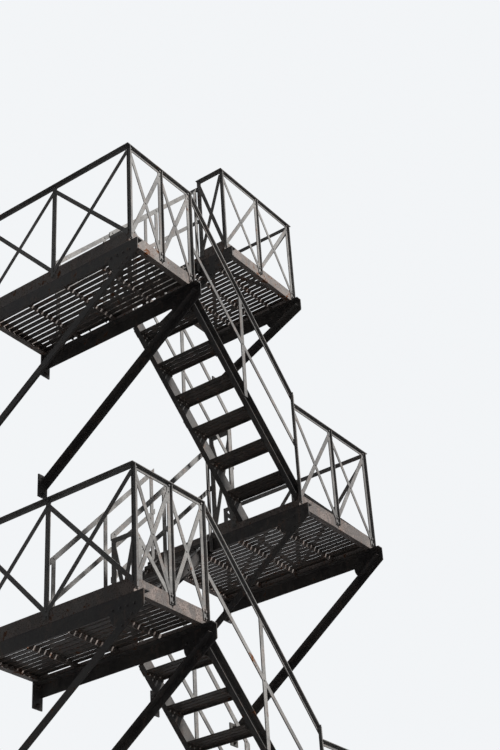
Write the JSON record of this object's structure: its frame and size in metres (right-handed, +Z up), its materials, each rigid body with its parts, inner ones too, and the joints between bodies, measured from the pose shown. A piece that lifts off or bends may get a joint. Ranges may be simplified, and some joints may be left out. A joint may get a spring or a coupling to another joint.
{
  "type": "fire escape stair",
  "caption": "Steel fire escape stair for a wall: grated platforms and landings on brackets, joined by two lanes of open steps with cross-braced railings.",
  "frame": {"origin": "centre of the wall face of platform 1's left upper wall plate", "axes": "+X along the wall to the right, +Y into the wall, +Z up"},
  "size_m": [3.25, 1.642, 10.979],
  "materials": {
    "deck_steel": "weathered black paint",
    "grating_steel": "weathered black paint",
    "railing_steel": "weathered black paint",
    "bracket_steel": "weathered black paint",
    "stringer_steel": "weathered black paint",
    "tread_steel": "weathered black paint"
  },
  "bodies": {
    "root": {"landing_1_frame": "deck_steel", "landing_1_grating": "grating_steel", "landing_1_railings": "railing_steel", "platform_1_frame": "deck_steel", "platform_1_grating": "grating_steel", "platform_1_railings": "railing_steel", "landing_2_frame": "deck_steel", "landing_2_grating": "grating_steel", "landing_2_railings": "railing_steel", "platform_2_frame": "deck_steel", "platform_2_grating": "grating_steel", "platform_2_railings": "railing_steel", "landing_3_frame": "deck_steel", "landing_3_grating": "grating_steel", "landing_3_railings": "railing_steel", "platform_3_frame": "deck_steel", "platform_3_grating": "grating_steel", "platform_3_railings": "railing_steel", "top_landing_frame": "deck_steel", "top_landing_grating": "grating_steel", "top_landing_railings": "railing_steel", "platform_brackets": "bracket_steel", "landing_brackets": "bracket_steel", "top_landing_brackets": "bracket_steel", "flight_1_stringers": "stringer_steel", "flight_1_treads": "tread_steel", "flight_1_railings": "railing_steel", "flight_2_stringers": "stringer_steel", "flight_2_treads": "tread_steel", "flight_2_railings": "railing_steel", "flight_3_stringers": "stringer_steel", "flight_3_treads": "tread_steel", "flight_3_railings": "railing_steel", "flight_4_stringers": "stringer_steel", "flight_4_treads": "tread_steel", "flight_4_railings": "railing_steel", "flight_5_stringers": "stringer_steel", "flight_5_treads": "tread_steel", "flight_5_railings": "railing_steel", "flight_6_stringers": "stringer_steel", "flight_6_treads": "tread_steel", "flight_6_railings": "railing_steel", "flight_7_stringers": "stringer_steel", "flight_7_treads": "tread_steel", "flight_7_railings": "railing_steel"}
  },
  "joints": []
}
